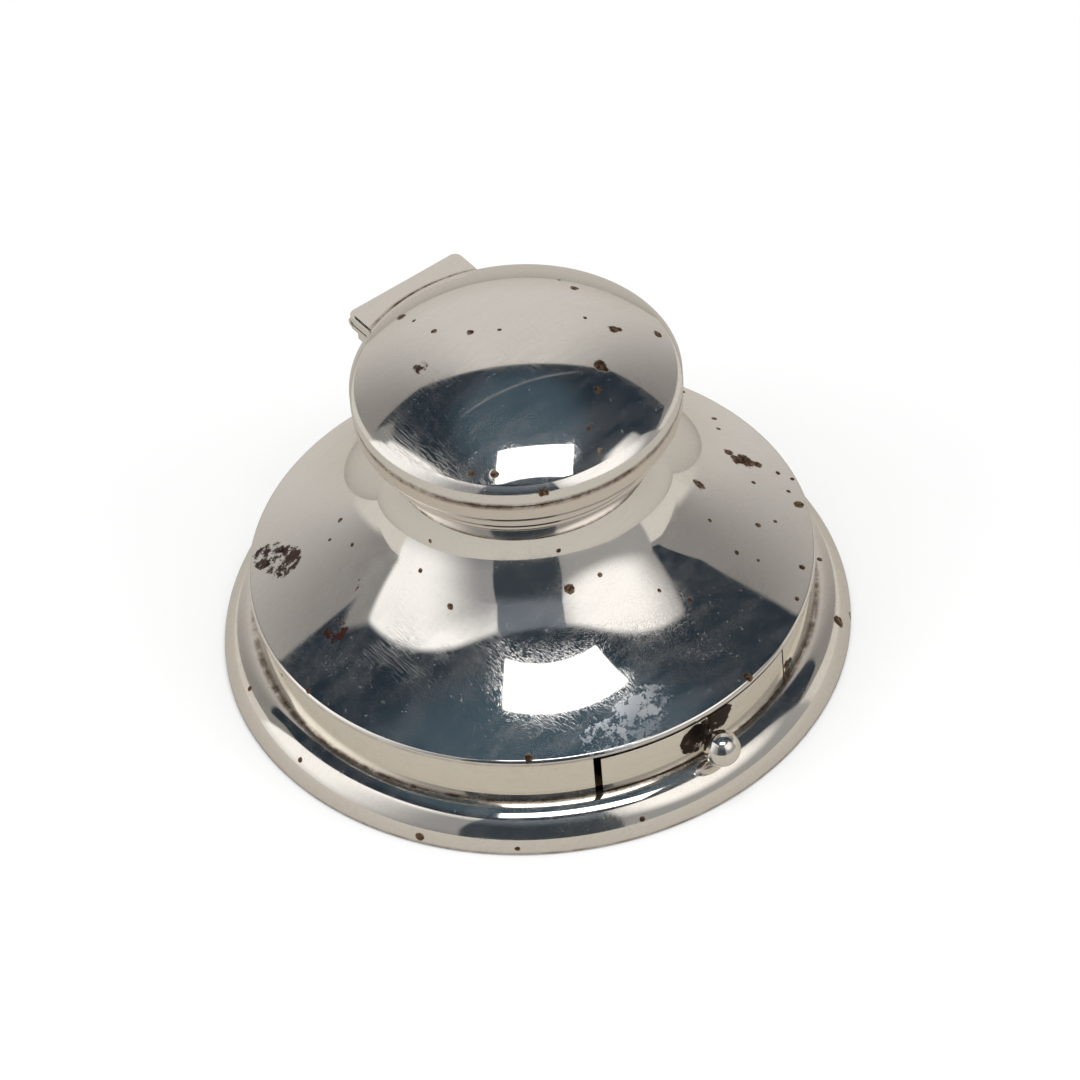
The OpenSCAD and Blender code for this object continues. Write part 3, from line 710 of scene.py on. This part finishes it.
def studio(tree):
    where = tree.vector("NORMALIZE", tree.place())
    turned = tree.node("VectorRotate", {"rotation_type": "Z_AXIS"}, Vector=where,
                       Angle=math.radians(-CAMERA_AZIMUTH))
    right = tree.node("SeparateXYZ", None, turned, out=0)
    back = tree.node("SeparateXYZ", None, turned, out=1)
    up = tree.node("SeparateXYZ", None, turned, out=2)
    azimuth = right.math("ARCTAN2", back * -1) * math.degrees(1)
    elevation = up.math("ARCSINE") * math.degrees(1)

    # Pale paper behind, darker toward the sides and warmer near the table
    behind = azimuth.size().step(118, 165)
    paper = tree.mix(behind, (0.235, 0.222, 0.21), (0.6, 0.573, 0.54))
    table_edge = 22 - (azimuth.size() - 104).most(0) * 0.47
    sweep = (elevation - table_edge).step(1.0, -1.0) * azimuth.size().step(90, 94)
    paper = tree.mix(sweep, paper, (0.62, 0.59, 0.54))

    low = elevation.step(16, -2) * azimuth.size().step(135, 160)
    paper = tree.mix(low, paper, (0.53, 0.5, 0.45))

    # The dark room over and in front of it, a little bluer and lighter overhead
    room = tree.mix(up.step(0.86, 0.97), (0.018, 0.027, 0.038), (0.045, 0.075, 0.1))
    edge = (up * 0.65).least((up - 0.42) * 4).least(0.465)
    open_room = (back - edge).step(0.012, -0.012)
    colour = tree.mix(open_room, paper, room)
    beside = window(tree, azimuth, elevation, -114, -100, 20, 40, 1.5)
    colour = tree.mix(beside, colour, (0.23, 0.225, 0.215))

    # Two soft boxes beside the camera, and the camera's own dark column between them
    aside_of_lens = (azimuth.size() - 40).most(0) * (1 / 60)
    box_top = 56 - aside_of_lens * aside_of_lens * aside_of_lens * 13
    under_top = (elevation - box_top).step(1.2, -1.2)
    left_glow = (azimuth.step(-38, -84) * 0.75 + elevation.step(46, 56) * 0.55 + 0.2).least(1.0)
    left_box = window(tree, azimuth, elevation, -105, -30, -30, 70, 1.5) * under_top
    left_low = elevation.step(-8, 18) * 0.4 + 0.6
    colour = tree.mix(left_box, colour, tree.mix(left_glow * left_low, (0.1, 0.1, 0.11), (1.03, 1.01, 0.98)))
    hot = ((azimuth - 55) * (1 / 34)) * ((azimuth - 55) * (1 / 34))
    hot = hot + ((elevation - 47) * (1 / 27)) * ((elevation - 47) * (1 / 27))
    right_box = window(tree, azimuth, elevation, 21, 94, -30, 70, 1.5) * under_top
    colour = tree.mix(right_box, colour, tree.mix(hot.step(1.6, 0.2), (0.3, 0.295, 0.29), (1.05, 1.02, 0.98)))
    column = window(tree, azimuth, elevation, -30, 21, -30, 57, 0.8)
    colour = tree.mix(column, colour, tree.mix(elevation.step(35, 56), (0.035, 0.045, 0.055),
                                               (0.13, 0.15, 0.18)))

    # The flat lamp overhead, and a faint bright line across the dark room
    aside = right / up
    ahead = back / up * -1
    lean = aside * -0.05
    slant = aside + ahead * 0.25
    lamp = (slant.step(-0.125, -0.105) * aside.step(0.385, 0.365)
            * (ahead - lean).step(0.185, 0.2) * (ahead - lean).step(0.45, 0.435) * up.step(0.1, 0.2))
    colour = tree.mix(lamp, colour, (3.2, 3.2, 3.2))
    line = (ahead + aside * 0.42 + 0.31).size().step(0.014, 0.008) * open_room * up.step(0.8, 0.9)
    line = line * aside.step(-0.42, -0.3)
    colour = tree.mix(line * 0.7, colour, (0.19, 0.2, 0.21))
    tree.shade(tree.node("Emission", None, colour, 1.0))


def make_studio():
    ring = [(cos(90 * i / 24) * 1200, sin(90 * i / 24) * 1200) for i in range(-8, 25)]
    steps = 96
    vertices = [Vector((r * cos(360 * j / steps), r * sin(360 * j / steps), z)) * MM
                for j in range(steps) for r, z in ring]
    faces = [[j * len(ring) + i, (j + 1) % steps * len(ring) + i, (j + 1) % steps * len(ring) + i + 1,
              j * len(ring) + i + 1] for j in range(steps) for i in range(len(ring) - 1)]
    room = new_piece("studio_room", vertices, faces)
    room.data.materials.append(material("studio light", studio))
    for ray in ("camera", "diffuse", "shadow", "volume_scatter", "transmission"):
        setattr(room, "visible_" + ray, False)
    room.data.materials[0].cycles.emission_sampling = "NONE"
    corners = [Vector((x, y, 0)) for x, y in ((-0.9, -0.36), (0.9, -0.42), (0.9, 1.1), (-0.9, 1.1))]
    floor = new_piece("floor", corners, [[0, 1, 2, 3]])
    floor.data.transform(Matrix.Rotation(math.radians(CAMERA_AZIMUTH), 4, "Z"))
    floor.data.materials.append(material("pale floor", pale_floor))
    world = bpy.data.worlds.new("pale world")
    bpy.context.scene.world = world
    world.use_nodes = True
    nodes, links = world.node_tree.nodes, world.node_tree.links
    background = nodes["Background"]
    path = nodes.new("ShaderNodeLightPath")
    seen = nodes.new("ShaderNodeMath")
    seen.operation = "MAXIMUM"
    seen_too = nodes.new("ShaderNodeMath")
    seen_too.operation = "MAXIMUM"
    links.new(path.outputs["Is Camera Ray"], seen.inputs[0])
    links.new(path.outputs["Is Glossy Ray"], seen.inputs[1])
    links.new(seen.outputs[0], seen_too.inputs[0])
    links.new(path.outputs["Is Transmission Ray"], seen_too.inputs[1])
    tone = nodes.new("ShaderNodeMapRange")
    tone.inputs["To Min"].default_value = 0.65
    tone.inputs["To Max"].default_value = 1.0
    links.new(seen_too.outputs[0], tone.inputs["Value"])
    links.new(tone.outputs[0], background.inputs["Strength"])
    background.inputs["Color"].default_value = (1, 1, 1, 1)


def pale_floor(tree):
    path = tree.nodes.new("ShaderNodeLightPath")
    seen = Value(tree, path.outputs["Is Camera Ray"])
    paint = tree.mix(seen, (0.43, 0.405, 0.365), (0.76, 0.76, 0.76))
    diffuse = tree.node("BsdfDiffuse", None, paint)
    glow = tree.node("Emission", None, (1.0, 1.0, 1.0), seen * 0.13)
    tree.shade(tree.node("AddShader", None, diffuse, glow))


def make_lamps():
    def area(name, size, power, azimuth, elevation, distance):
        lamp = bpy.data.lights.new(name, "AREA")
        lamp.shape = "SQUARE"
        lamp.size = size
        lamp.energy = power
        holder = bpy.data.objects.new(name, lamp)
        bpy.context.scene.collection.objects.link(holder)
        a = azimuth + CAMERA_AZIMUTH
        spot = Vector((sin(a) * cos(elevation), -cos(a) * cos(elevation), sin(elevation))) * distance
        holder.matrix_world = Matrix.Translation(spot) @ spot.to_track_quat("Z", "Y").to_matrix().to_4x4()
        holder.visible_glossy = False
        holder.visible_camera = False
    area("overhead lamp", 0.6, 6.6, 15, 75, 1.2)
    area("left box", 0.9, 3.8, -70, 30, 1.3)
    area("right box", 0.9, 3.0, 60, 30, 1.3)


def make_camera():
    camera = bpy.data.objects.new("camera", bpy.data.cameras.new("camera"))
    bpy.context.scene.collection.objects.link(camera)
    a, e = CAMERA_AZIMUTH, CAMERA_ELEVATION
    back = Vector((sin(a) * cos(e), -cos(a) * cos(e), sin(e)))
    right = Vector((cos(a), sin(a), 0))
    turn = Matrix((right, back.cross(right), back)).transposed()
    turn = turn @ Matrix.Rotation(math.radians(CAMERA_PAN), 3, "Y")
    turn = turn @ Matrix.Rotation(math.radians(CAMERA_TILT), 3, "X")
    turn = turn @ Matrix.Rotation(math.radians(CAMERA_ROLL), 3, "Z")
    camera.matrix_world = Matrix.Translation(back * CAMERA_DISTANCE) @ turn.to_4x4()
    camera.data.lens = CAMERA_LENS
    camera.data.sensor_width = 36
    camera.data.clip_end = 50
    bpy.context.scene.camera = camera


make_camera()
make_materials()
make_pieces()
make_studio()
make_lamps()
bpy.context.scene.view_settings.view_transform = "Standard"
